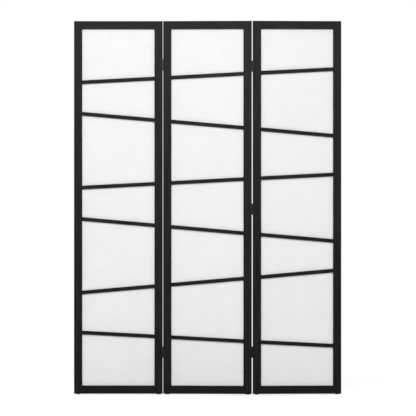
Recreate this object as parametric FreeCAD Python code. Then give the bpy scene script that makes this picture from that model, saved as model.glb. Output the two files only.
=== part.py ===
import FreeCAD, Part
import math
import os

from FreeCAD import Placement, Rotation, Vector

# Folding screen of three framed panels, hinged edge to edge so that it closes into a flat zigzag.
# Millimetres and degrees. +Z is up from the floor, the front faces -Y and +X is to the viewer's right.
# Each panel is drawn in a frame of its own, centred on X and Y and standing on the floor, and is then
# set in its place.

# Panel frames
PANEL_WIDTH = 402.0
FRAME_HEIGHT = 1690.0
FRAME_THICKNESS = 18.0
STILE_WIDTH = 37.0
RAIL_HEIGHT = 37.0
EDGE_RADIUS = 1.2

# Slats: six lines cross the whole screen, each placed at the middle panel's centre from the frame's
# mid-height, and slanting by one of two angles
SLAT_1_ABOVE_MIDDLE = 597.0
SLAT_2_ABOVE_MIDDLE = 375.0
SLAT_3_ABOVE_MIDDLE = 119.5
SLAT_4_BELOW_MIDDLE = 102.5
SLAT_5_BELOW_MIDDLE = 336.5
SLAT_6_BELOW_MIDDLE = 597.5
GENTLE_SLOPE = 3.0
STEEP_SLOPE = 5.0
SLAT_WIDTH = 17.0
SLAT_THICKNESS = 6.0
SLAT_SETBACK = 1.5
SLAT_HOUSING = 7.0
SLAT_EASE = 0.8
SLAT_FIT = 0.2

# Sheet, and the beads that hold it in the rebate at the back of the frame
REBATE_WIDTH = 10.0
SHEET_THICKNESS = 0.6
SHEET_MARGIN = 0.5
BEAD_FIT = 0.2

# Dowels across the corner joints
DOWEL_DIAMETER = 6.0
DOWEL_LENGTH = 30.0
DOWEL_SPACING = 14.0
DOWEL_BEVEL = 0.6
DOWEL_FIT = 0.05
DOWEL_END_ROOM = 0.8

# Nail-on floor glides
GLIDE_DIAMETER = 18.0
GLIDE_HEIGHT = 2.5
GLIDE_BEVEL = 1.0
NAIL_DIAMETER = 2.2
NAIL_LENGTH = 14.0
NAIL_POINT = 2.0
NAIL_FIT = 0.05

# Butt hinges: each leaf lies flat on a panel's edge, and its barrel, the leaf curled round the pin, stands
# clear of the panels' faces. Two leaves and the room between them make the gap at each fold.
PIN_DIAMETER = 2.6
PIN_FIT = 0.05
PIN_HEAD_DIAMETER = 3.8
PIN_HEAD_HEIGHT = 1.0
PIN_HEAD_BEVEL = 0.5
LEAF_THICKNESS = 0.8
LEAF_WIDTH = 16.0
LEAF_CORNER = 2.0
LEFT_LEAF_ROOM = 0.3
RIGHT_LEAF_ROOM = 1.6
BARREL_CLEARANCE = 0.4
HINGE_HEIGHT = 50.0
KNUCKLE_COUNT = 5
KNUCKLE_GAP = 0.3
LEFT_HINGE_FROM_TOP = 199.0
RIGHT_HINGE_FROM_TOP = 205.0
HINGE_FROM_BOTTOM = 189.0

# Countersunk hinge screws
SCREW_DIAMETER = 3.0
SCREW_HEAD_DIAMETER = 4.6
SCREW_LENGTH = 16.0
SCREW_POINT = 3.0
SCREW_SPACING = 30.0
SCREW_FROM_PIN = 9.5
SCREW_FIT = 0.05
RECESS_LENGTH = 2.6
RECESS_WIDTH = 0.6
RECESS_DEPTH = 0.7

# Pose at rest: the middle panel's turn on the floor, and how far each fold is closed
MIDDLE_YAW = -4.0
LEFT_FOLD_ANGLE = 4.0
RIGHT_FOLD_ANGLE = 8.0

# Signs for the two sides of a panel
LEFT, RIGHT = -1, 1
FRONT, BACK = -1, 1
SIDE_NAMES = {LEFT: "left", RIGHT: "right"}

# Sizes worked out from the driving ones
KNUCKLE_RADIUS = PIN_DIAMETER / 2 + PIN_FIT + LEAF_THICKNESS
PIN_PROUD = KNUCKLE_RADIUS + BARREL_CLEARANCE
LEFT_GAP = 2 * LEAF_THICKNESS + LEFT_LEAF_ROOM
RIGHT_GAP = 2 * LEAF_THICKNESS + RIGHT_LEAF_ROOM
KNUCKLE_LENGTH = (HINGE_HEIGHT - (KNUCKLE_COUNT - 1) * KNUCKLE_GAP) / KNUCKLE_COUNT
HALF_WIDTH = PANEL_WIDTH / 2
HALF_THICKNESS = FRAME_THICKNESS / 2
OPENING_HALF = HALF_WIDTH - STILE_WIDTH
FRAME_BOTTOM = GLIDE_HEIGHT
FRAME_TOP = GLIDE_HEIGHT + FRAME_HEIGHT
FRAME_MIDDLE = (FRAME_BOTTOM + FRAME_TOP) / 2
OPENING_BOTTOM = FRAME_BOTTOM + RAIL_HEIGHT
OPENING_TOP = FRAME_TOP - RAIL_HEIGHT
SLAT_FRONT = SLAT_SETBACK - HALF_THICKNESS
LEDGE = SLAT_FRONT + SLAT_THICKNESS
REBATE_HALF = OPENING_HALF + REBATE_WIDTH
REBATE_BOTTOM = OPENING_BOTTOM - REBATE_WIDTH
REBATE_TOP = OPENING_TOP + REBATE_WIDTH
# The corner dowels lie in the part of a rail that keeps its full thickness
DOWEL_FROM_EDGE = (RAIL_HEIGHT - REBATE_WIDTH) / 2
LEFT_TOP_HINGE = FRAME_TOP - LEFT_HINGE_FROM_TOP
RIGHT_TOP_HINGE = FRAME_TOP - RIGHT_HINGE_FROM_TOP
BOTTOM_HINGE = FRAME_BOTTOM + HINGE_FROM_BOTTOM
# Each slat line's height above the floor, and its slope, which is positive where it rises to the right
SLAT_LINES = (
    (FRAME_MIDDLE + SLAT_1_ABOVE_MIDDLE, GENTLE_SLOPE),
    (FRAME_MIDDLE + SLAT_2_ABOVE_MIDDLE, -STEEP_SLOPE),
    (FRAME_MIDDLE + SLAT_3_ABOVE_MIDDLE, GENTLE_SLOPE),
    (FRAME_MIDDLE - SLAT_4_BELOW_MIDDLE, -STEEP_SLOPE),
    (FRAME_MIDDLE - SLAT_5_BELOW_MIDDLE, STEEP_SLOPE),
    (FRAME_MIDDLE - SLAT_6_BELOW_MIDDLE, -GENTLE_SLOPE),
)

# The left fold turns about pins at the front and the right fold about pins at the back
FOLD_FACES = {"left_fold": FRONT, "right_fold": BACK}
FOLD_GAPS = {"left_fold": LEFT_GAP, "right_fold": RIGHT_GAP}
FOLD_HINGES = {
    "left_fold": {"top": LEFT_TOP_HINGE, "bottom": BOTTOM_HINGE},
    "right_fold": {
        "top": RIGHT_TOP_HINGE,
        "middle": (RIGHT_TOP_HINGE + BOTTOM_HINGE) / 2,
        "bottom": BOTTOM_HINGE,
    },
}

# Each panel's centre along the flat screen, and the fold at each of its hinged edges
PANEL_CENTRES = {"left": -(PANEL_WIDTH + LEFT_GAP), "middle": 0.0, "right": PANEL_WIDTH + RIGHT_GAP}
PANEL_FOLDS = {
    "left": {RIGHT: "left_fold"},
    "middle": {LEFT: "left_fold", RIGHT: "right_fold"},
    "right": {LEFT: "right_fold"},
}

# The middle panel's leaves carry the odd knuckles, from the first, and the outer panels' leaves the even ones
INNER_KNUCKLES = range(0, KNUCKLE_COUNT, 2)
OUTER_KNUCKLES = range(1, KNUCKLE_COUNT, 2)

X_AXIS = Vector(1, 0, 0)
Y_AXIS = Vector(0, 1, 0)
Z_AXIS = Vector(0, 0, 1)
ORIGIN = Vector(0, 0, 0)

# Two places or directions closer than this are the same
SAME = 1e-6


def block(x_ends, y_ends, z_ends):
    """A box between two places along each axis, in either order."""
    low = Vector(min(x_ends), min(y_ends), min(z_ends))
    high = Vector(max(x_ends), max(y_ends), max(z_ends))
    size = high - low
    return Part.makeBox(size.x, size.y, size.z, low)


def edges_along(solid, direction):
    """The straight edges of a plain block that run along one direction."""
    found = []
    for edge in solid.Edges:
        if edge.tangentAt(edge.FirstParameter).cross(direction).Length < SAME:
            found.append(edge)
    return found


def eased(solid, direction, radius):
    """The block with its edges along one direction rounded."""
    return solid.makeFillet(radius, edges_along(solid, direction))


def turned(profile):
    """A solid of revolution about Z from a closed outline of (radius, height) points."""
    points = [Vector(radius, 0, height) for radius, height in profile]
    face = Part.Face(Part.makePolygon(points + points[:1]))
    return face.revolve(ORIGIN, Z_AXIS, 360)


def aimed(solid, start, direction):
    """A copy of a solid drawn along Z, moved to start and turned to point along direction."""
    copy = solid.copy()
    copy.Placement = Placement(start, Rotation(Z_AXIS, direction))
    return copy


def rebate_pocket():
    """The space behind the ledge, cut from the back of all four frame members."""
    return block((-REBATE_HALF, REBATE_HALF), (LEDGE, FRAME_THICKNESS), (REBATE_BOTTOM, REBATE_TOP))


def slat_bar(line, centre, growth=0.0, back=LEDGE):
    """A slat of one panel, with upright ends inside its stiles, grown all round and as deep as back."""
    height, slope = line
    reach = OPENING_HALF + SLAT_HOUSING + growth
    stock = reach + SLAT_WIDTH
    half_width = SLAT_WIDTH / 2 + growth
    bar = block((-stock, stock), (SLAT_FRONT - growth, back), (-half_width, half_width))
    bar = eased(bar, X_AXIS, SLAT_EASE)
    bar.rotate(ORIGIN, Y_AXIS, -slope)
    bar.translate(Vector(0, 0, height + math.tan(math.radians(slope)) * centre))
    return bar.common(block((-reach, reach), (-FRAME_THICKNESS, FRAME_THICKNESS), (0, FRAME_TOP)))


def slat_notch(line, centre):
    """The housing for a slat's ends, open towards the rebate so that the slat is laid in from the back."""
    return slat_bar(line, centre, SLAT_FIT, LEDGE + 2 * SLAT_EASE)


def dowel_starts(side):
    """Where the dowels of one stile begin, inside that stile."""
    starts = []
    for middle in (FRAME_BOTTOM + DOWEL_FROM_EDGE, FRAME_TOP - DOWEL_FROM_EDGE):
        for step in (-DOWEL_SPACING / 2, DOWEL_SPACING / 2):
            starts.append(Vector(side * (OPENING_HALF + DOWEL_LENGTH / 2), 0, middle + step))
    return starts


def dowels():
    """The eight corner dowels, with bevelled ends."""
    radius = DOWEL_DIAMETER / 2
    dowel = turned((
        (0, 0),
        (radius - DOWEL_BEVEL, 0),
        (radius, DOWEL_BEVEL),
        (radius, DOWEL_LENGTH - DOWEL_BEVEL),
        (radius - DOWEL_BEVEL, DOWEL_LENGTH),
        (0, DOWEL_LENGTH),
    ))
    return [aimed(dowel, start, X_AXIS * -side) for side in (LEFT, RIGHT) for start in dowel_starts(side)]


def dowel_holes():
    """The holes that the dowels sit in, through stile and rail, with room at both ends."""
    hole = Part.makeCylinder(DOWEL_DIAMETER / 2 + DOWEL_FIT, DOWEL_LENGTH + 2 * DOWEL_END_ROOM)
    holes = []
    for side in (LEFT, RIGHT):
        for start in dowel_starts(side):
            holes.append(aimed(hole, start + X_AXIS * (side * DOWEL_END_ROOM), X_AXIS * -side))
    return holes


def glide_feet():
    """Where the two glides stand, under the stiles' centres."""
    return [Vector(side * (HALF_WIDTH - STILE_WIDTH / 2), 0, 0) for side in (LEFT, RIGHT)]


def glides():
    """The two floor glides, each a round foot moulded on a nail."""
    foot = GLIDE_DIAMETER / 2
    nail = NAIL_DIAMETER / 2
    tip = GLIDE_HEIGHT + NAIL_LENGTH
    glide = turned((
        (0, 0),
        (foot - GLIDE_BEVEL, 0),
        (foot, GLIDE_BEVEL),
        (foot, GLIDE_HEIGHT),
        (nail, GLIDE_HEIGHT),
        (nail, tip - NAIL_POINT),
        (0, tip),
    ))
    return [aimed(glide, foot_place, Z_AXIS) for foot_place in glide_feet()]


def nail_holes():
    """The holes up into the stiles for the glides' nails."""
    hole = Part.makeCylinder(NAIL_DIAMETER / 2 + NAIL_FIT, FRAME_BOTTOM + NAIL_LENGTH)
    return [aimed(hole, foot_place, Z_AXIS) for foot_place in glide_feet()]


def pin_axis(edge, fold):
    """The place of a fold's hinge pins beside one edge of a panel."""
    across = HALF_WIDTH + FOLD_GAPS[fold] / 2
    return Vector(edge * across, FOLD_FACES[fold] * (HALF_THICKNESS + PIN_PROUD), 0)


def knuckle_span(index):
    """A knuckle's lower and upper end, from the hinge's centre."""
    start = index * (KNUCKLE_LENGTH + KNUCKLE_GAP) - HINGE_HEIGHT / 2
    return start, start + KNUCKLE_LENGTH


def screw_seats(edge, fold, level):
    """Where a leaf's two screws enter the panel's edge."""
    y = pin_axis(edge, fold).y - FOLD_FACES[fold] * SCREW_FROM_PIN
    return [Vector(edge * HALF_WIDTH, y, level + step) for step in (-SCREW_SPACING / 2, SCREW_SPACING / 2)]


def screw_form(growth):
    """A countersunk screw pointing up, with the underside of its head at zero height."""
    shank = SCREW_DIAMETER / 2 + growth
    head = SCREW_HEAD_DIAMETER / 2 + growth
    return turned((
        (0, -LEAF_THICKNESS),
        (head, -LEAF_THICKNESS),
        (shank, 0),
        (shank, SCREW_LENGTH - SCREW_POINT + growth),
        (0, SCREW_LENGTH + growth),
    ))


def screws(edge, fold, level):
    """A leaf's screws, each with a cross recess in its head."""
    arm = (-RECESS_LENGTH / 2, RECESS_LENGTH / 2)
    side = (-RECESS_WIDTH / 2, RECESS_WIDTH / 2)
    depth = (-2 * LEAF_THICKNESS, RECESS_DEPTH - LEAF_THICKNESS)
    screw = screw_form(0).cut([block(arm, side, depth), block(side, arm, depth)])
    return [aimed(screw, seat, X_AXIS * -edge) for seat in screw_seats(edge, fold, level)]


def screw_holes(edge, fold, level):
    """The space that a leaf's screws need in the leaf and the stile."""
    hole = screw_form(SCREW_FIT)
    return [aimed(hole, seat, X_AXIS * -edge) for seat in screw_seats(edge, fold, level)]


def leaf(edge, fold, level, knuckles):
    """A hinge leaf flat on a panel's edge, curled round the pin at its own knuckles."""
    axis = pin_axis(edge, fold)
    face = FOLD_FACES[fold]
    plate_x = (edge * HALF_WIDTH, edge * (HALF_WIDTH + LEAF_THICKNESS))
    root_y = axis.y - face * (KNUCKLE_RADIUS + KNUCKLE_GAP)
    free_y = axis.y - face * LEAF_WIDTH
    plate_z = (level - HINGE_HEIGHT / 2, level + HINGE_HEIGHT / 2)
    plate = block(plate_x, (root_y, free_y), plate_z)
    corners = [corner for corner in edges_along(plate, X_AXIS) if abs(corner.CenterOfMass.y - free_y) < SAME]
    plate = plate.makeFillet(LEAF_CORNER, corners)
    barrel = []
    for index in knuckles:
        low, high = (level + end for end in knuckle_span(index))
        barrel.append(block(plate_x, (axis.y, root_y), (low, high)))
        barrel.append(Part.makeCylinder(KNUCKLE_RADIUS, high - low, axis + Z_AXIS * low))
    bore_start = axis + Z_AXIS * (level - HINGE_HEIGHT)
    bore = Part.makeCylinder(PIN_DIAMETER / 2 + PIN_FIT, 2 * HINGE_HEIGHT, bore_start)
    body = plate.fuse(barrel).removeSplitter()
    return body.cut([bore] + screw_holes(edge, fold, level))


def hinge_pin(axis, level):
    """A hinge pin with a low button head at each end of the barrel."""
    shaft = PIN_DIAMETER / 2
    head = PIN_HEAD_DIAMETER / 2
    end = HINGE_HEIGHT / 2
    tip = end + PIN_HEAD_HEIGHT
    pin = turned((
        (0, -tip),
        (head - PIN_HEAD_BEVEL, -tip),
        (head, PIN_HEAD_BEVEL - tip),
        (head, -end),
        (shaft, -end),
        (shaft, end),
        (head, end),
        (head, tip - PIN_HEAD_BEVEL),
        (head - PIN_HEAD_BEVEL, tip),
        (0, tip),
    ))
    return aimed(pin, axis + Z_AXIS * level, Z_AXIS)


def hinge_places(panel):
    """Each hinge on a panel: its fold, level name, panel edge and height."""
    places = []
    for edge, fold in PANEL_FOLDS[panel].items():
        for name, level in FOLD_HINGES[fold].items():
            places.append((fold, name, edge, level))
    return places


def frame_members(panel):
    """Stiles and rails of a panel, cut for the sheet, slats, dowels, glides and hinge screws."""
    centre = PANEL_CENTRES[panel]
    cuts = [rebate_pocket()] + dowel_holes()
    stile_cuts = cuts + nail_holes() + [slat_notch(line, centre) for line in SLAT_LINES]
    for fold, _, edge, level in hinge_places(panel):
        stile_cuts += screw_holes(edge, fold, level)
    depth = (-HALF_THICKNESS, HALF_THICKNESS)
    members = {}
    for side, name in SIDE_NAMES.items():
        stile = block((side * HALF_WIDTH, side * OPENING_HALF), depth, (FRAME_BOTTOM, FRAME_TOP))
        members[name + "_stile"] = eased(stile, Z_AXIS, EDGE_RADIUS).cut(stile_cuts)
    for name, span in (("top", (OPENING_TOP, FRAME_TOP)), ("bottom", (FRAME_BOTTOM, OPENING_BOTTOM))):
        rail = block((-OPENING_HALF, OPENING_HALF), depth, span)
        members[name + "_rail"] = eased(rail, X_AXIS, EDGE_RADIUS).cut(cuts)
    return members


def sheet():
    """The white sheet, flat on the ledge and the backs of the slats."""
    half = REBATE_HALF - SHEET_MARGIN
    heights = (REBATE_BOTTOM + SHEET_MARGIN, REBATE_TOP - SHEET_MARGIN)
    return block((-half, half), (LEDGE, LEDGE + SHEET_THICKNESS), heights)


def beads():
    """Four strips that fill the rebate behind the sheet, flush with the back of the frame."""
    depth = (LEDGE + SHEET_THICKNESS, HALF_THICKNESS)
    outer = REBATE_HALF - BEAD_FIT
    low = REBATE_BOTTOM + BEAD_FIT
    high = REBATE_TOP - BEAD_FIT
    strips = [block((side * OPENING_HALF, side * outer), depth, (low, high)) for side in (LEFT, RIGHT)]
    between = (BEAD_FIT - OPENING_HALF, OPENING_HALF - BEAD_FIT)
    strips.append(block(between, depth, (low, OPENING_BOTTOM)))
    strips.append(block(between, depth, (OPENING_TOP, high)))
    return strips


def panel_nodes(panel):
    """Every piece that a panel carries, by node name, in the panel's own frame."""
    prefix = panel + "_panel_"
    nodes = {prefix + name: member for name, member in frame_members(panel).items()}
    for number, line in enumerate(SLAT_LINES, start=1):
        nodes[prefix + f"slat_{number}"] = slat_bar(line, PANEL_CENTRES[panel])
    nodes[prefix + "sheet"] = sheet()
    nodes[prefix + "sheet_beads"] = Part.makeCompound(beads())
    nodes[prefix + "corner_dowels"] = Part.makeCompound(dowels())
    nodes[prefix + "floor_glides"] = Part.makeCompound(glides())
    panel_screws = []
    pins = {}
    for fold, name, edge, level in hinge_places(panel):
        panel_screws += screws(edge, fold, level)
        owner = "inner" if panel == "middle" else "outer"
        knuckles = INNER_KNUCKLES if panel == "middle" else OUTER_KNUCKLES
        nodes[f"{fold}_{name}_hinge_{owner}_leaf"] = leaf(edge, fold, level, knuckles)
        if panel == "middle":
            pins.setdefault(fold, []).append(hinge_pin(pin_axis(edge, fold), level))
    nodes[prefix + "hinge_screws"] = Part.makeCompound(panel_screws)
    for fold, fold_pins in pins.items():
        nodes[fold + "_hinge_pins"] = Part.makeCompound(fold_pins)
    return nodes


def panel_places():
    """Each panel's place at rest: the outer panels turn about the middle panel's hinge pins."""
    middle = Placement(ORIGIN, Rotation(Z_AXIS, MIDDLE_YAW))
    places = {"middle": middle}
    for panel, edge, angle in (("left", LEFT, LEFT_FOLD_ANGLE), ("right", RIGHT, RIGHT_FOLD_ANGLE)):
        fold = panel + "_fold"
        turn = Rotation(Z_AXIS, MIDDLE_YAW + angle)
        start = middle.multVec(pin_axis(edge, fold)) - turn.multVec(pin_axis(-edge, fold))
        places[panel] = Placement(start, turn)
    return places


def main():
    os.makedirs("parts", exist_ok=True)
    places = panel_places()
    nodes = {}
    for panel, place in places.items():
        for name, shape in panel_nodes(panel).items():
            shape.Placement = place.multiply(shape.Placement)
            nodes[name] = shape

    # The origin is the centre of the whole screen's footprint
    box = Part.makeCompound(list(nodes.values())).optimalBoundingBox(False, False)
    shift = Vector(-box.Center.x, -box.Center.y, 0)
    for name, shape in nodes.items():
        shape.translate(shift)
        shape.exportStep(f"parts/{name}.step")
    print(len(nodes), "nodes, size", [round(size, 2) for size in (box.XLength, box.YLength, box.ZLength)])
    for edge, fold in PANEL_FOLDS["middle"].items():
        axis = places["middle"].multVec(pin_axis(edge, fold)) + shift
        print(fold, "axis", round(axis.x, 4), round(axis.y, 4))
    for panel, place in places.items():
        feet = [place.multVec(foot) + shift for foot in glide_feet()]
        print(panel, "feet", [(round(foot.x, 4), round(foot.y, 4)) for foot in feet])


main()
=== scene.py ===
import math

import bpy
import numpy as np
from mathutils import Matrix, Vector


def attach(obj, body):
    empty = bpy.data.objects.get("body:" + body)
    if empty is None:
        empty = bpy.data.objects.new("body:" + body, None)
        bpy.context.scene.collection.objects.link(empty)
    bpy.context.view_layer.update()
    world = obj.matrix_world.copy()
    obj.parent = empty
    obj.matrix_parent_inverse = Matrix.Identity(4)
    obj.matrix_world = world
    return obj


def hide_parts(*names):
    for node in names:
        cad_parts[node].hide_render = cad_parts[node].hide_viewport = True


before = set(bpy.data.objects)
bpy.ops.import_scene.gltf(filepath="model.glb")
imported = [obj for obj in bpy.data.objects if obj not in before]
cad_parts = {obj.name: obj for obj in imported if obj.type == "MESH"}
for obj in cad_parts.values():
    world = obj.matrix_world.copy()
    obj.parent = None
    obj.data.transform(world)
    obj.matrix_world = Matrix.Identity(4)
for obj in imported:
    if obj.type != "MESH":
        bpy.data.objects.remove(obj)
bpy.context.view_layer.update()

# Looks of a folding screen: three black lacquered frames, with white sheets behind slanting slats.
# Metres and degrees, in the row frame: +Z up from the floor, the front faces -Y.

PANELS = ("left", "middle", "right")
SLAT_COUNT = 6
UP = np.array([0.0, 0.0, 1.0])

# Stretched sheets: points across and up, and the depths of their belly and ripples between the slats.
# A ripple is a sine, with its radians per metre across and up and its phase.
SHEET_COLUMNS = 41
SHEET_ROWS = 201
BELLY_DEPTH = 0.0008
RIPPLE_DEPTH = 0.0002
RIPPLES = ((31.0, 9.0, 0.0), (-23.0, 17.0, 1.0), (0.0, 41.0, 2.0))

# Brads that hold the beads at the back
BRAD_RADIUS = 0.0008
BRAD_RISE = 0.0002
BRAD_SIDES = 10
BRAD_RINGS = 3
BRAD_SPACING = 0.14

# Wood grain: its directions in degrees up from level, and how much it is drawn out along a member.
# A noise here and below has its scale per metre, its detail and its roughness.
UPRIGHT = 90.0
LEVEL = 0.0
GRAIN_STRETCH = 28.0
GRAIN_STREAKS = (700.0, 4.0, 0.6)
GRAIN_RINGS = (170.0, 2.0, 0.5)
GRAIN_CLOUDS = (24.0, 3.0, 0.5)
STREAK_SHARE = 0.4
STREAK_SHEEN = 0.5
GRAIN_CONTRAST = (0.38, 0.62)

# Felt of the sheets, and the shares of patches, clouds and fibres in its colour
FELT_PATCHES = (13.0, 1.0, 0.5)
FELT_CLOUDS = (55.0, 5.0, 0.6)
FINE_FIBRES = (1400.0, 3.0, 0.7)
CROSSING_FIBRES = {"Scale": 180.0, "Distortion": 60.0, "Detail": 4.0, "Detail_Scale": 3.0}
CROSSING_SHARE = 0.4
FELT_SHARES = (0.35, 0.4, 0.25)

# Skin of coatings and mouldings: the pits' detail and roughness, and how much they show
SKIN_PATCHES = (60.0, 2.0, 0.5)
SKIN_PITS = (3.0, 0.6)
PIT_SHEEN = 0.5
PIT_RELIEF = 0.3
COAT_ROUGHNESS = 0.2

# Finishes: dark and light tones, range of roughness, strength and depth of relief, and mirror-like share
LACQUER_TONES = (0.0005, 0.0005, 0.0005), (0.01, 0.01, 0.0103)
LACQUER_ROUGHNESS = (0.44, 0.62)
LACQUER_RELIEF = (0.15, 0.0003)
LACQUER_SPECULAR = 0.25
SHEET_TONES = (0.81, 0.813, 0.815), (0.94, 0.94, 0.935)
SHEET_ROUGHNESS = (0.8, 1.0)
SHEET_RELIEF = (0.2, 0.0002)
SHEET_SPECULAR = 0.15
BEECH_TONES = (0.42, 0.27, 0.15), (0.62, 0.45, 0.29)
BEECH_ROUGHNESS = (0.6, 0.8)
BEECH_RELIEF = (0.3, 0.0003)
HINGE_TONES = (0.022, 0.022, 0.023), (0.036, 0.036, 0.037)
STEEL_TONES = (0.04, 0.04, 0.042), (0.075, 0.075, 0.078)
GLIDE_TONES = (0.016, 0.016, 0.017), (0.024, 0.024, 0.025)

# Camera: a long lens straight on, the width of the scene across the square picture, and how far it sees
VIEW_WIDTH = 1.886
CAMERA_DISTANCE = 17.0
CAMERA_X = 0.0017
CAMERA_HEIGHT = 0.8448
CAMERA_SIGHT = 68.0
SENSOR_WIDTH = 36.0

# Studio: one soft lamp high up in front, an even fill from the front half of the surroundings and a
# stronger one from the back half, and a dark bowl in front of the object that only reflections see
LAMP_PLACE = (-0.6, -4.0, 3.6)
LAMP_AIM = (0.0, 0.0, 0.6)
LAMP_SIZE = (2.0, 1.4)
LAMP_POWER = 115.5
FRONT_FILL = 0.475
BACK_FILL = 1.2
FILL_BLEND = 0.5
BOWL_BACK = 0.06
BOWL_TURN = 100.0
BOWL_REACH = 4.0
BOWL_HEIGHT = 1.9
BOWL_LIFT = 0.002
BOWL_RINGS = 33
BOWL_SPOKES = 41
BOWL_TONES = (0.03, 0.8)
FLOOR_RADIUS = 6.0
FLOOR_RINGS = 24
FLOOR_SPOKES = 64
FLOOR_TONE = 0.82
FLOOR_ROUGHNESS = 0.9
FLOOR_FADE = (0.9, 2.6)
FLOOR_LIFT = 0.36
WHITE = (1.0, 1.0, 1.0, 1.0)

# Kinds of the Mix node's sockets, and its setting for each
MIX_TYPES = {"Color": "RGBA", "Vector": "VECTOR"}


def node_points(name):
    """A CAD node's vertices at rest, as an array of points."""
    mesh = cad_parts[name].data
    points = np.zeros(len(mesh.vertices) * 3, np.float32)
    mesh.vertices.foreach_get("co", points)
    return points.reshape(-1, 3).astype(float)


def extent_along(name, direction):
    """The least and greatest reach of a CAD node along a direction."""
    reach = node_points(name) @ direction
    return reach.min(), reach.max()


def panel_axes(panel):
    """A panel's directions to its right and to its back, from its flat sheet seen from above."""
    flat = node_points(panel + "_panel_sheet")[:, :2]
    scatter, directions = np.linalg.eigh(np.cov(flat.T))
    along = directions[:, np.argmax(scatter)]
    along = along * np.sign(along[0])
    return np.array([along[0], along[1], 0.0]), np.array([-along[1], along[0], 0.0])


def panel_opening(panel):
    """The left and right ends and the lower and upper edges of the opening between a panel's members."""
    right = panel_axes(panel)[0]
    left_end = extent_along(panel + "_panel_left_stile", right)[1]
    right_end = extent_along(panel + "_panel_right_stile", right)[0]
    low = extent_along(panel + "_panel_bottom_rail", UP)[1]
    high = extent_along(panel + "_panel_top_rail", UP)[0]
    return left_end, right_end, low, high


def slat_line(panel, number):
    """A slat's slope, and the place across and the height of its middle.

    A slat is a straight bar with upright ends, so its slope is how its points' heights vary with their
    place across the panel, divided by how much those places vary."""
    points = node_points(f"{panel}_panel_slat_{number}")
    place = points @ panel_axes(panel)[0]
    height = points @ UP
    slope = np.cov(place, height)[0, 1] / np.var(place, ddof=1)
    return slope, (place.min() + place.max()) / 2, (height.min() + height.max()) / 2


def grid_faces(rows, columns, closed=False):
    """Corner numbers of the quads of a grid of points, row by row.

    A closed grid joins its last column to its first."""
    numbers = np.arange(rows * columns).reshape(rows, columns)
    if closed:
        numbers = np.concatenate([numbers, numbers[:, :1]], axis=1)
    corners = (numbers[:-1, :-1], numbers[:-1, 1:], numbers[1:, 1:], numbers[1:, :-1])
    return np.stack(corners, axis=-1).reshape(-1, 4)


def mesh_object(name, points, faces, material):
    """An object of a mesh from an array of points and a list of faces."""
    mesh = bpy.data.meshes.new(name)
    mesh.from_pydata(points.reshape(-1, 3).tolist(), [], faces)
    mesh.materials.append(material)
    made = bpy.data.objects.new(name, mesh)
    bpy.context.scene.collection.objects.link(made)
    return made


def smooth_piece(name, points, faces, material, body):
    """A smooth mesh object that rides on a body."""
    piece = mesh_object(name, points, faces, material)
    piece.data.polygons.foreach_set("use_smooth", np.ones(len(piece.data.polygons), bool))
    piece.data.update()
    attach(piece, body)
    return piece


def pane_edges(panel, across):
    """Heights of the opening's foot, the slats' centre lines from the lowest up, and the opening's top.

    They are given at each place across the panel, along a new last axis."""
    low, high = panel_opening(panel)[2:]
    edges = [np.full_like(across, low)]
    for number in range(SLAT_COUNT, 0, -1):
        slope, middle, height = slat_line(panel, number)
        edges.append(height + slope * (across - middle))
    edges.append(np.full_like(across, high))
    return np.stack(edges, axis=-1)


def sheet_depth(panel, across, up):
    """How far a sheet lies behind the ledge and the slats' backs, at places across and up the panel.

    Between two slats it is a half sine of the share of the way up from one to the next, times a half sine
    across the opening, with slow ripples of three sines added in the same window. It is never negative,
    so the sheet stays clear of the slats' backs."""
    edges = pane_edges(panel, across)
    pane = np.clip(np.sum(up[..., None] > edges, axis=-1), 1, edges.shape[-1] - 1)
    below = np.take_along_axis(edges, pane[..., None] - 1, axis=-1)[..., 0]
    above = np.take_along_axis(edges, pane[..., None], axis=-1)[..., 0]
    share_up = np.clip((up - below) / (above - below), 0, 1)
    left_end, right_end = panel_opening(panel)[:2]
    share_across = np.clip((across - left_end) / (right_end - left_end), 0, 1)
    window = np.sin(math.pi * share_up) * np.sin(math.pi * share_across)
    ripple = sum(np.sin(turn * across + climb * up + phase) for turn, climb, phase in RIPPLES)
    return window * (BELLY_DEPTH + RIPPLE_DEPTH * ripple)


def stretched_sheet(panel, material):
    """A panel's sheet: a grid of places across and up the flat sheet, each set back by the depth there."""
    node = panel + "_panel_sheet"
    right, back = panel_axes(panel)
    left_end, right_end = extent_along(node, right)
    low, high = extent_along(node, UP)
    front, rear = extent_along(node, back)
    across = np.linspace(left_end, right_end, SHEET_COLUMNS)[None, :]
    up = np.linspace(low, high, SHEET_ROWS)[:, None]
    across, up = np.broadcast_arrays(across, up)
    depth = front + sheet_depth(panel, across, up)
    points = across[..., None] * right + depth[..., None] * back + up[..., None] * UP

    name = panel + "_panel_stretched_sheet"
    faces = grid_faces(SHEET_ROWS, SHEET_COLUMNS).tolist()
    piece = smooth_piece(name, points, faces, material, panel + "_panel")
    thickness = piece.modifiers.new("sheet thickness", "SOLIDIFY")
    thickness.thickness = rear - front
    thickness.offset = -1
    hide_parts(node)


def brad_steps(low, high):
    """Even places between two ends, about a spacing apart and half a spacing from each end."""
    return np.linspace(low + BRAD_SPACING / 2, high - BRAD_SPACING / 2, int((high - low) / BRAD_SPACING))


def brad_places(panel):
    """Places of the brads along the middle of a panel's four beads, on the beads' backs."""
    node = panel + "_panel_sheet_beads"
    right, back = panel_axes(panel)
    left_end, right_end = extent_along(node, right)
    low, high = extent_along(node, UP)
    rear = extent_along(node, back)[1]
    open_left, open_right, open_low, open_high = panel_opening(panel)
    side_middles = (left_end + open_left) / 2, (right_end + open_right) / 2
    end_middles = (low + open_low) / 2, (high + open_high) / 2
    sides = [(across, height) for across in side_middles for height in brad_steps(low, high)]
    ends = [(across, height) for height in end_middles for across in brad_steps(left_end, right_end)]
    return np.array([across * right + rear * back + height * UP for across, height in sides + ends])


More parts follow.
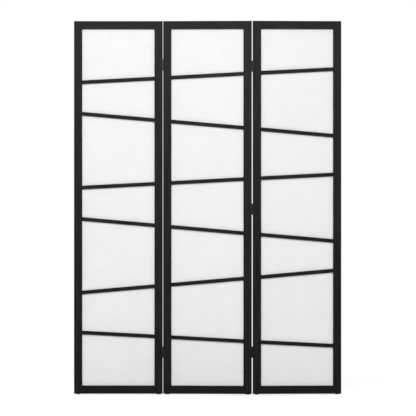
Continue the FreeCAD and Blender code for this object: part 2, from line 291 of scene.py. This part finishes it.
def dome_faces(rings, sides):
    """Corner numbers of a closed dome: its rings' points from the top down, then its top and its foot.

    Quads join the rings, and fans of triangles close the top and the foot."""
    quads = grid_faces(rings, sides, closed=True)
    ring = np.arange(sides)
    after = np.roll(ring, -1)
    top = np.full(sides, rings * sides)
    foot = top + 1
    last = (rings - 1) * sides
    top_fan = np.stack([top, after, ring], axis=-1)
    foot_fan = np.stack([foot, last + ring, last + after], axis=-1)
    return quads, np.concatenate([top_fan, foot_fan])


def bead_brads(panel, material):
    """Brad heads: low domes whose height falls with the square of the distance from the middle."""
    places = brad_places(panel)
    right, back = panel_axes(panel)
    turn = np.linspace(0, 2 * math.pi, BRAD_SIDES, endpoint=False)[None, :]
    share = np.linspace(0, 1, BRAD_RINGS + 1)[1:, None]
    side = np.append(share * np.cos(turn), (0, 0))[:, None] * BRAD_RADIUS
    upward = np.append(share * np.sin(turn), (0, 0))[:, None] * BRAD_RADIUS
    proud = np.append(BRAD_RISE * (1 - share**2) + 0 * turn, (BRAD_RISE, -BRAD_RISE))[:, None]
    head = side * right + upward * UP + proud * back
    points = places[:, None, :] + head[None, :, :]
    starts = np.arange(len(places))[:, None, None] * len(head)
    faces = []
    for group in dome_faces(BRAD_RINGS, BRAD_SIDES):
        faces += (group[None, :, :] + starts).reshape(-1, group.shape[1]).tolist()
    smooth_piece(panel + "_panel_bead_brads", points, faces, material, panel + "_panel")


def connect(tree, socket, value):
    """Links a socket to another, or sets its own value."""
    if isinstance(value, bpy.types.NodeSocket):
        tree.links.new(value, socket)
    else:
        socket.default_value = value


def connect_in_order(tree, node, values):
    """Links or sets a node's first inputs, one value each."""
    for socket, value in zip(node.inputs, values):
        connect(tree, socket, value)


def add_node(tree, kind, settings=None, **inputs):
    """A shader node with its settings, and its inputs by name with spaces written as underscores."""
    made = tree.nodes.new(kind)
    for name, value in (settings or {}).items():
        setattr(made, name, value)
    for name, value in inputs.items():
        connect(tree, made.inputs[name.replace("_", " ")], value)
    return made


def calculate(tree, operation, *values):
    """The result of a Math node on sockets and numbers."""
    made = add_node(tree, "ShaderNodeMath", {"operation": operation})
    connect_in_order(tree, made, values)
    return made.outputs["Value"]


def weighted_sum(tree, *shares):
    """The sum of values, each times its share."""
    total = calculate(tree, "MULTIPLY", *shares[0])
    for value, share in shares[1:]:
        total = calculate(tree, "MULTIPLY_ADD", value, share, total)
    return total


def spread(tree, value, low, high):
    """A value from 0 to 1 carried to the range from low to high."""
    made = add_node(tree, "ShaderNodeMapRange", Value=value, To_Min=low, To_Max=high)
    return made.outputs["Result"]


def mixed(tree, kind, share, first, second):
    """A value between two of a kind, Color or Vector, by a share from 0 to 1."""
    made = add_node(tree, "ShaderNodeMix", {"data_type": MIX_TYPES[kind]})
    sockets = {socket.identifier: socket for socket in (*made.inputs, *made.outputs)}
    connect(tree, sockets["Factor_Float"], share)
    connect(tree, sockets["A_" + kind], first)
    connect(tree, sockets["B_" + kind], second)
    return sockets["Result_" + kind]


def noise(tree, place, scale, detail, roughness):
    """A noise value at a place."""
    made = add_node(tree, "ShaderNodeTexNoise", Vector=place, Scale=scale, Detail=detail,
                    Roughness=roughness)
    return made.outputs["Fac"]


def new_pattern(name, *extra_numbers):
    """A shader node group for a pattern on a surface, and its input node.

    A pattern takes a place, a dark and a light colour, and gives a colour, a sheen and a height."""
    pattern = bpy.data.node_groups.new(name, "ShaderNodeTree")
    pattern.interface.new_socket("Place", in_out="INPUT", socket_type="NodeSocketVector")
    for label in ("Dark", "Light"):
        pattern.interface.new_socket(label, in_out="INPUT", socket_type="NodeSocketColor")
    for label in extra_numbers:
        pattern.interface.new_socket(label, in_out="INPUT", socket_type="NodeSocketFloat")
    pattern.interface.new_socket("Color", in_out="OUTPUT", socket_type="NodeSocketColor")
    for label in ("Sheen", "Height"):
        pattern.interface.new_socket(label, in_out="OUTPUT", socket_type="NodeSocketFloat")
    return pattern, pattern.nodes.new("NodeGroupInput")


def give_pattern(pattern, start, tone, sheen, height):
    """Sets what a pattern gives: its colour goes from dark to light by a tone from 0 to 1."""
    end = pattern.nodes.new("NodeGroupOutput")
    colour = mixed(pattern, "Color", tone, start.outputs["Dark"], start.outputs["Light"])
    connect(pattern, end.inputs["Color"], colour)
    connect(pattern, end.inputs["Sheen"], sheen)
    connect(pattern, end.inputs["Height"], height)


def wood_grain():
    """Wood grain under a thin lacquer: streaks and broad rings drawn out along the place's third axis."""
    grain, start = new_pattern("wood grain")
    place = start.outputs["Place"]
    streaks = noise(grain, place, *GRAIN_STREAKS)
    rings = noise(grain, place, *GRAIN_RINGS)
    clouds = noise(grain, place, *GRAIN_CLOUDS)
    soft = weighted_sum(grain, (rings, 1 - STREAK_SHARE), (streaks, STREAK_SHARE))
    low, high = GRAIN_CONTRAST
    sharp = add_node(grain, "ShaderNodeMapRange", Value=soft, From_Min=low, From_Max=high)
    tone = sharp.outputs["Result"]
    sheen = calculate(grain, "MULTIPLY_ADD", streaks, STREAK_SHEEN, clouds)
    give_pattern(grain, start, tone, sheen, tone)
    return grain


def felted_fibres():
    """Non-woven fibres: patches and clouds of thick and thin felt, with fine crossing fibres on top."""
    felt, start = new_pattern("felted fibres")
    place = start.outputs["Place"]
    patches = noise(felt, place, *FELT_PATCHES)
    clouds = noise(felt, place, *FELT_CLOUDS)
    fine = noise(felt, place, *FINE_FIBRES)
    bands = add_node(felt, "ShaderNodeTexWave", {"wave_type": "BANDS"}, Vector=place, **CROSSING_FIBRES)
    crossing = bands.outputs["Fac"]
    fibres = weighted_sum(felt, (fine, 1 - CROSSING_SHARE), (crossing, CROSSING_SHARE))
    tone = weighted_sum(felt, *zip((patches, clouds, fibres), FELT_SHARES))
    give_pattern(felt, start, tone, fibres, fibres)
    return felt


def uneven_skin():
    """The fine uneven skin of a coating or a moulding: small pits over slow patches."""
    skin, start = new_pattern("uneven skin", "Pit Scale")
    place = start.outputs["Place"]
    pits = noise(skin, place, start.outputs["Pit Scale"], *SKIN_PITS)
    patches = noise(skin, place, *SKIN_PATCHES)
    sheen = calculate(skin, "MULTIPLY_ADD", pits, PIT_SHEEN, patches)
    give_pattern(skin, start, patches, sheen, pits)
    return skin


GRAIN = wood_grain()
FELT = felted_fibres()
SKIN = uneven_skin()


def new_material(name):
    """A material, its node tree and its Principled shader."""
    material = bpy.data.materials.new(name)
    material.use_nodes = True
    tree = material.node_tree
    return material, tree, tree.nodes["Principled BSDF"]


def object_place(tree):
    """Object coordinates."""
    return add_node(tree, "ShaderNodeTexCoord").outputs["Object"]


def grain_place(tree, along):
    """Object coordinates turned and drawn out along a direction in degrees up from level."""
    turn = (0.0, math.radians(UPRIGHT - along), 0.0)
    mapped = add_node(tree, "ShaderNodeMapping", {"vector_type": "TEXTURE"}, Vector=object_place(tree),
                      Rotation=turn, Scale=(1.0, 1.0, GRAIN_STRETCH))
    return mapped.outputs["Vector"]


def between(tree, direction, low, high):
    """1 where Object coordinates reach between two values along a direction, and 0 elsewhere."""
    reach = add_node(tree, "ShaderNodeVectorMath", {"operation": "DOT_PRODUCT"})
    connect_in_order(tree, reach, (object_place(tree), direction))
    from_middle = calculate(tree, "SUBTRACT", reach.outputs["Value"], (low + high) / 2)
    return calculate(tree, "LESS_THAN", calculate(tree, "ABSOLUTE", from_middle), (high - low) / 2)


def bead_place(tree, panel):
    """Grain coordinates of a panel's beads: level above and below the opening, and upright beside it."""
    left_end, right_end, low, high = panel_opening(panel)
    across = between(tree, panel_axes(panel)[0], left_end, right_end)
    beside = between(tree, UP, low, high)
    on_rail = calculate(tree, "SUBTRACT", across, calculate(tree, "MULTIPLY", across, beside))
    return mixed(tree, "Vector", on_rail, grain_place(tree, UPRIGHT), grain_place(tree, LEVEL))


def dress(tree, shader, pattern, place, tones, roughness, relief):
    """Joins a pattern at a place to a shader's colour, roughness and relief. Gives the pattern's node."""
    dark, light = tones
    made = add_node(tree, "ShaderNodeGroup", {"node_tree": pattern}, Place=place, Dark=(*dark, 1.0),
                    Light=(*light, 1.0))
    connect(tree, shader.inputs["Base Color"], made.outputs["Color"])
    connect(tree, shader.inputs["Roughness"], spread(tree, made.outputs["Sheen"], *roughness))
    strength, depth = relief
    bump = add_node(tree, "ShaderNodeBump", Height=made.outputs["Height"], Strength=strength,
                    Distance=depth)
    connect(tree, shader.inputs["Normal"], bump.outputs["Normal"])
    return made


def lacquer(name, placing, way):
    """Satin black lacquer on softwood, with grain coordinates that a placing function gives for a way.

    The way is a direction for grain_place and a panel for bead_place."""
    material, tree, shader = new_material(name)
    dress(tree, shader, GRAIN, placing(tree, way), LACQUER_TONES, LACQUER_ROUGHNESS, LACQUER_RELIEF)
    shader.inputs["Specular IOR Level"].default_value = LACQUER_SPECULAR
    return material


def sheet_white():
    """Matt white non-woven sheet."""
    material, tree, shader = new_material("white non-woven")
    dress(tree, shader, FELT, object_place(tree), SHEET_TONES, SHEET_ROUGHNESS, SHEET_RELIEF)
    shader.inputs["Specular IOR Level"].default_value = SHEET_SPECULAR
    return material


def beech():
    """Bare beech with its grain across the screen, as the dowels lie."""
    material, tree, shader = new_material("bare beech")
    dress(tree, shader, GRAIN, grain_place(tree, LEVEL), BEECH_TONES, BEECH_ROUGHNESS, BEECH_RELIEF)
    return material


def pitted(name, tones, roughness, pit_scale, pit_depth, metallic=0.0, specular=0.5, coat=0.0):
    """A coated or moulded surface with an uneven skin."""
    material, tree, shader = new_material(name)
    skin = dress(tree, shader, SKIN, object_place(tree), tones, roughness, (PIT_RELIEF, pit_depth))
    skin.inputs["Pit Scale"].default_value = pit_scale
    shader.inputs["Metallic"].default_value = metallic
    shader.inputs["Specular IOR Level"].default_value = specular
    shader.inputs["Coat Weight"].default_value = coat
    shader.inputs["Coat Roughness"].default_value = COAT_ROUGHNESS
    return material


def hinge_coating():
    """Glossy black coating of the hinge leaves."""
    return pitted("coated hinge steel", HINGE_TONES, roughness=(0.2, 0.32), pit_scale=900.0,
                  pit_depth=0.00008, specular=1.0, coat=1.0)


def dark_steel(name):
    """Darkened steel of pins, screws and brads."""
    return pitted(name, STEEL_TONES, roughness=(0.25, 0.4), pit_scale=1200.0, pit_depth=0.00005,
                  metallic=0.7)


def glide_plastic():
    """Black moulded plastic of the floor glides."""
    return pitted("moulded glide plastic", GLIDE_TONES, roughness=(0.45, 0.6), pit_scale=700.0,
                  pit_depth=0.0001)


def slat_finishes():
    """Lacquer of the slats by their names' endings, with the grain along each slat in whole degrees.

    Slats of the same number lie on one line across the screen, so they slope alike in every panel."""
    by_slope = {}
    finishes = {}
    for number in range(1, SLAT_COUNT + 1):
        slope = round(math.degrees(math.atan(slat_line(PANELS[0], number)[0])))
        if slope not in by_slope:
            by_slope[slope] = lacquer(f"lacquer slanted {slope:+d}", grain_place, slope)
        finishes[f"slat_{number}"] = by_slope[slope]
    return finishes


def node_finishes():
    """Materials of the CAD nodes by their names' endings."""
    finishes = {
        "stile": lacquer("lacquer upright", grain_place, UPRIGHT),
        "rail": lacquer("lacquer level", grain_place, LEVEL),
        "leaf": hinge_coating(),
        "pins": dark_steel("oxide pin steel"),
        "screws": dark_steel("black screw steel"),
        "glides": glide_plastic(),
        "dowels": beech(),
    }
    for panel in PANELS:
        finishes[panel + "_panel_sheet_beads"] = lacquer(f"lacquer {panel} beads", bead_place, panel)
    return finishes | slat_finishes()


def finish_nodes(finishes):
    """Gives the CAD nodes their materials, apart from the flat sheets, which stretched sheets replace."""
    for name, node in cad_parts.items():
        for ending, material in finishes.items():
            if name.endswith(ending):
                node.data.materials.clear()
                node.data.materials.append(material)


def studio_light():
    """The soft lamp, turned to face its aim."""
    light = bpy.data.lights.new("soft lamp", "AREA")
    light.shape = "RECTANGLE"
    light.size, light.size_y = LAMP_SIZE
    light.energy = LAMP_POWER
    lamp = bpy.data.objects.new("soft lamp", light)
    bpy.context.scene.collection.objects.link(lamp)
    lamp.location = LAMP_PLACE
    lamp.rotation_mode = "QUATERNION"
    aim = Vector(LAMP_AIM) - Vector(LAMP_PLACE)
    lamp.rotation_quaternion = aim.to_track_quat("-Z", "Y")
    lamp.visible_camera = False


def seen_directly(tree):
    """1 for rays from the camera, mirror-like rays and rays through clear things, and 0 for the rest."""
    path = add_node(tree, "ShaderNodeLightPath")
    either = calculate(tree, "MAXIMUM", path.outputs["Is Camera Ray"], path.outputs["Is Glossy Ray"])
    return calculate(tree, "MAXIMUM", either, path.outputs["Is Transmission Ray"])


def studio_surroundings():
    """A white background, and a fill light that is even from the front and stronger from behind."""
    world = bpy.data.worlds.new("studio")
    world.use_nodes = True
    bpy.context.scene.world = world
    tree = world.node_tree
    where = add_node(tree, "ShaderNodeTexCoord")
    direction = add_node(tree, "ShaderNodeSeparateXYZ", Vector=where.outputs["Generated"])
    fill = add_node(tree, "ShaderNodeMapRange", Value=direction.outputs["Y"], From_Max=FILL_BLEND,
                    To_Min=FRONT_FILL, To_Max=BACK_FILL)
    strength = spread(tree, seen_directly(tree), fill.outputs["Result"], 1.0)
    connect(tree, tree.nodes["Background"].inputs["Strength"], strength)
    tree.nodes["Background"].inputs["Color"].default_value = WHITE


def floor_material():
    """Pale and matt with a shadow near the object, and fading to white further out where it is seen."""
    material, tree, shader = new_material("pale floor")
    shader.inputs["Base Color"].default_value = (FLOOR_TONE, FLOOR_TONE, FLOOR_TONE, 1.0)
    shader.inputs["Roughness"].default_value = FLOOR_ROUGHNESS
    shader.inputs["Specular IOR Level"].default_value = 0.0
    shader.inputs["Emission Color"].default_value = WHITE
    direct = seen_directly(tree)
    connect(tree, shader.inputs["Emission Strength"], calculate(tree, "MULTIPLY", direct, FLOOR_LIFT))
    white = add_node(tree, "ShaderNodeEmission", Strength=direct)
    length = add_node(tree, "ShaderNodeVectorMath", {"operation": "LENGTH"}, Vector=object_place(tree))
    near, far = FLOOR_FADE
    fade = add_node(tree, "ShaderNodeMapRange", {"interpolation_type": "SMOOTHSTEP"},
                    Value=length.outputs["Value"], From_Min=near, From_Max=far)
    share = calculate(tree, "MULTIPLY", fade.outputs["Result"], direct)
    both = add_node(tree, "ShaderNodeMixShader")
    connect_in_order(tree, both, (share, shader.outputs["BSDF"], white.outputs["Emission"]))
    connect(tree, tree.nodes["Material Output"].inputs["Surface"], both.outputs["Shader"])
    return material


def studio_floor():
    """A round floor of rings and spokes, each ring's radius the square of its share of the way out."""
    share = np.linspace(0, 1, FLOOR_RINGS)[:, None]
    turn = np.linspace(0, 2 * math.pi, FLOOR_SPOKES, endpoint=False)[None, :]
    radius = share**2 * FLOOR_RADIUS
    points = np.stack([radius * np.cos(turn), radius * np.sin(turn), 0 * radius * turn], axis=-1)
    faces = grid_faces(FLOOR_RINGS, FLOOR_SPOKES, closed=True)[:, ::-1].tolist()
    mesh_object("floor", points, faces, floor_material())


def bowl_material():
    """A glow that grows with the height."""
    material, tree, shader = new_material("dark bowl")
    tree.nodes.remove(shader)
    place = add_node(tree, "ShaderNodeSeparateXYZ", Vector=object_place(tree))
    dark, light = BOWL_TONES
    tone = add_node(tree, "ShaderNodeMapRange", Value=place.outputs["Z"], From_Max=BOWL_HEIGHT,
                    To_Min=dark, To_Max=light)
    glow = add_node(tree, "ShaderNodeEmission", Strength=tone.outputs["Result"])
    connect(tree, tree.nodes["Material Output"].inputs["Surface"], glow.outputs["Emission"])
    return material


def studio_bowl():
    """A dark bowl in front of the object that only reflections see.

    Its radius is the sine of a share of a quarter turn, and its height the square of one less the cosine
    of that share, so it runs out along the floor and then rises. The profile is turned about the object's
    middle."""
    share = np.linspace(0, math.pi / 2, BOWL_RINGS)[:, None]
    turn = np.radians(np.linspace(-BOWL_TURN, BOWL_TURN, BOWL_SPOKES))[None, :]
    radius = BOWL_REACH * np.sin(share)
    height = BOWL_LIFT + BOWL_HEIGHT * (1 - np.cos(share)) ** 2 + 0 * turn
    points = np.stack([radius * np.sin(turn), BOWL_BACK - radius * np.cos(turn), height], axis=-1)
    faces = grid_faces(BOWL_RINGS, BOWL_SPOKES).tolist()
    bowl = mesh_object("dark bowl", points, faces, bowl_material())
    for rays in ("camera", "diffuse", "transmission", "volume_scatter", "shadow"):
        setattr(bowl, "visible_" + rays, False)


def straight_camera():
    """The camera, level and square to the screen."""
    data = bpy.data.cameras.new("camera")
    data.sensor_width = SENSOR_WIDTH
    data.lens = SENSOR_WIDTH * CAMERA_DISTANCE / VIEW_WIDTH
    data.clip_end = CAMERA_SIGHT
    camera = bpy.data.objects.new("camera", data)
    bpy.context.scene.collection.objects.link(camera)
    camera.location = (CAMERA_X, -CAMERA_DISTANCE, CAMERA_HEIGHT)
    camera.rotation_euler = (math.radians(90.0), 0.0, 0.0)
    bpy.context.scene.camera = camera


finishes = node_finishes()
finish_nodes(finishes)
white_felt = sheet_white()
for panel in PANELS:
    stretched_sheet(panel, white_felt)
    bead_brads(panel, finishes["pins"])
studio_light()
studio_surroundings()
studio_floor()
studio_bowl()
straight_camera()
bpy.context.scene.view_settings.view_transform = "Standard"
